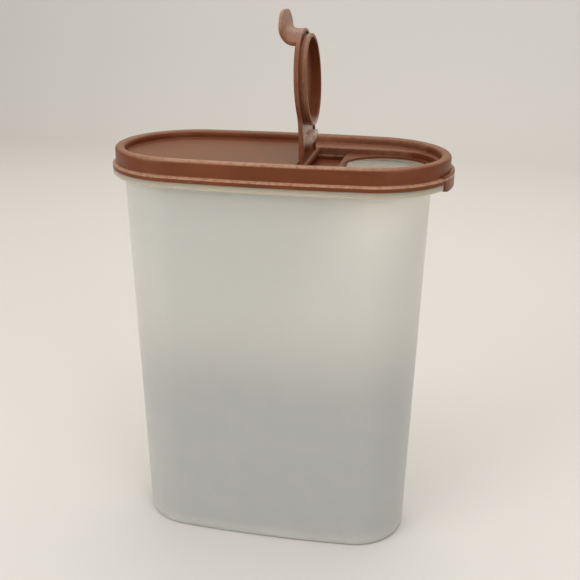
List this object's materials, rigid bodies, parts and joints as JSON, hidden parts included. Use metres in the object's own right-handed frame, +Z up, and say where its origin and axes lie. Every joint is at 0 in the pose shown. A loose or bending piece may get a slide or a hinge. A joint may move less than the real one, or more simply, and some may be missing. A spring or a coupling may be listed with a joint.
{
  "type": "food storage container",
  "caption": "Tall oval food storage tub with a press-on lid and a hinged flip cap over a round pour hole.",
  "frame": {"origin": "on the table, straight under the middle of the rim", "axes": "+X along the oval towards the pour hole, +Z up"},
  "size_m": [0.1946, 0.0974, 0.3139],
  "materials": {
    "tub": "milky translucent polypropylene, smooth satin",
    "lid": "soft brown polyethylene, satin, lightly worn"
  },
  "bodies": {
    "container": {"container": "tub"},
    "seal": {"seal": "lid"},
    "flip_cap": {"flip_cap": "lid"}
  },
  "joints": [
    {"name": "seal_lift", "type": "slide", "parent": "container", "child": "seal", "axis": [0, 0, 1], "range_m": [0, 0.06]},
    {"name": "cap_hinge", "type": "hinge", "parent": "seal", "child": "flip_cap", "pos_m": [0.01644, 0, 0.2332], "axis": [0, 1, 0], "range_deg": [0, 93]}
  ]
}
